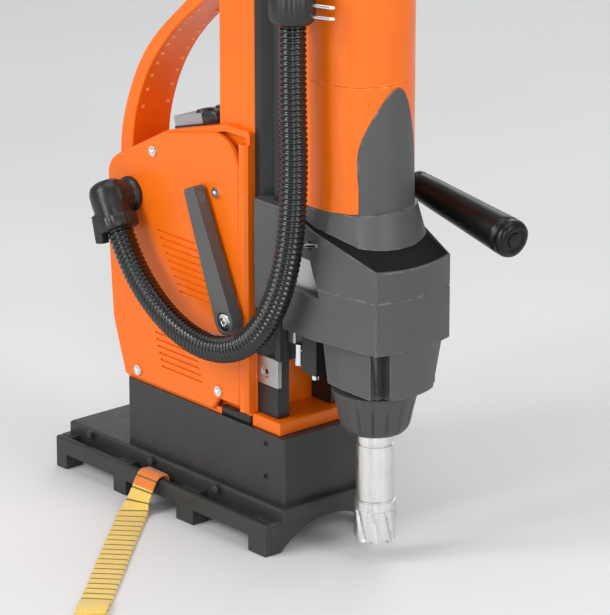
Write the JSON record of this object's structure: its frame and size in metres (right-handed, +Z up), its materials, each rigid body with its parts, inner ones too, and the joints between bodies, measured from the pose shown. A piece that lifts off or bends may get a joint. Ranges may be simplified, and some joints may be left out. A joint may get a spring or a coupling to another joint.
{
  "type": "magnetic drill press",
  "caption": "Magnetic core drill on a strap-on pipe saddle, with a three-spoke hand feed, a sliding motor head and a ribbed conduit.",
  "frame": {"origin": "on the standing surface, under the middle of the machine's outline (the straps and the conduit left out)", "axes": "+Z up along the column and the spindle; +X from the handle towards the drilling side; +Y to the hand feed's side, the operator's left when facing the drilling side"},
  "size_m": [0.3819, 0.4086, 0.488],
  "materials": {
    "orange": "orange powder coat",
    "orange_cover": "orange moulded cover",
    "grey": "dark grey paint, satin",
    "grey_plastic": "dark grey moulding",
    "black_plastic": "black moulding",
    "black_steel": "blackened steel",
    "steel": "machined",
    "bright": "plated",
    "aluminium": "machined",
    "iron": "cast",
    "bronze": "plain",
    "copper": "varnished wire",
    "board": "circuit board",
    "green": "push button",
    "red": "push button",
    "yellow": "ribbed webbing"
  },
  "bodies": {
    "stand": {"base_plate": "grey", "saddle_ribs": "grey", "strap_bars": "steel", "left_rail": "grey", "right_rail": "grey", "base_screws": "steel", "magnet_housing": "grey", "foot_set_screws": "black_steel", "magnet_core": "iron", "magnet_coil": "copper", "stand_shell": "orange", "column": "orange", "left_cover": "orange_cover", "right_cover": "orange_cover", "cover_screws": "bright", "carry_handle": "orange", "front_flange": "orange", "guide_rails": "black_steel", "guide_end_plates": "aluminium", "end_bumpers": "black_plastic", "control_panel": "aluminium", "circuit_board": "board", "mains_gland": "black_plastic", "pinion_bushes": "bronze", "elbow_gland": "black_plastic", "conduit": "black_plastic", "left_strap": "yellow", "right_strap": "yellow"},
    "feed": {"pinion_shaft": "steel", "feed_hub": "black_steel", "spokes": "bright", "grips": "black_plastic"},
    "lever": {"clamp_lever": "grey", "lever_screw": "bright"},
    "head": {"slide_plate": "steel", "carriage": "grey", "gib_strip": "bronze", "rack": "steel", "motor_housing": "orange_cover", "motor_cap": "orange_cover", "stator": "iron", "gear_housing": "grey", "side_plates": "aluminium", "seal_band": "black_plastic", "gear_collar": "grey", "gear_nose": "grey", "ball_bearings": "steel", "coolant_nipple": "bright", "guard_bracket": "black_plastic", "guard_pins": "bright", "motor_elbow": "black_plastic"},
    "rotor": {"rotor": "steel"},
    "layshaft": {"layshaft": "steel"},
    "spindle": {"spindle": "steel", "annular_cutter": "steel"},
    "ring": {"release_ring": "grey_plastic"},
    "pilot": {"pilot_pin": "bright"},
    "start": {"start_button": "green"},
    "stop": {"stop_button": "red"},
    "magnet_switch": {"magnet_button": "black_plastic"}
  },
  "joints": [
    {"name": "head_slide", "type": "slide", "parent": "stand", "child": "head", "axis": [0, 0, 1], "range_m": [-0.015, 0.11], "deforming": ["conduit"]},
    {"name": "feed_turn", "type": "hinge", "parent": "stand", "child": "feed", "pos_m": [0.0052, 0, 0.28], "axis": [0, 1, 0], "range_deg": [-526, 72]},
    {"name": "lever_turn", "type": "hinge", "parent": "stand", "child": "lever", "pos_m": [0.004, -0.05, 0.166], "axis": [0, 1, 0], "range_deg": [-30, 30]},
    {"name": "rotor_spin", "type": "hinge", "parent": "head", "child": "rotor", "pos_m": [0.091, 0, 0.33], "axis": [0, 0, 1], "continuous": true},
    {"name": "layshaft_spin", "type": "hinge", "parent": "head", "child": "layshaft", "pos_m": [0.077, 0, 0.205], "axis": [0, 0, 1], "continuous": true},
    {"name": "spindle_spin", "type": "hinge", "parent": "head", "child": "spindle", "pos_m": [0.109, 0, 0.15], "axis": [0, 0, 1], "continuous": true},
    {"name": "ring_twist", "type": "hinge", "parent": "spindle", "child": "ring", "pos_m": [0.109, 0, 0.115], "axis": [0, 0, 1], "range_deg": [0, 30], "stiffness_Nm_per_rad": 0.6, "springref_deg": -5.73},
    {"name": "pilot_slide", "type": "slide", "parent": "spindle", "child": "pilot", "axis": [0, 0, 1], "range_m": [0, 0.03], "stiffness_N_per_m": 150, "springref_m": -0.005},
    {"name": "start_press", "type": "slide", "parent": "stand", "child": "start", "axis": [0.2728, 0, -0.9621], "range_m": [0, 0.002], "stiffness_N_per_m": 800, "springref_m": -0.0005},
    {"name": "stop_press", "type": "slide", "parent": "stand", "child": "stop", "axis": [0.2728, 0, -0.9621], "range_m": [0, 0.002], "stiffness_N_per_m": 800, "springref_m": -0.0005},
    {"name": "magnet_press", "type": "slide", "parent": "stand", "child": "magnet_switch", "axis": [0.2728, 0, -0.9621], "range_m": [0, 0.002], "stiffness_N_per_m": 800, "springref_m": -0.0005}
  ],
  "couplings": [
    {"joint": "feed_turn", "follows": "head_slide", "rad_per_m": -83.333},
    {"joint": "layshaft_spin", "follows": "rotor_spin", "ratio": -0.47368},
    {"joint": "spindle_spin", "follows": "rotor_spin", "ratio": 0.15789}
  ]
}
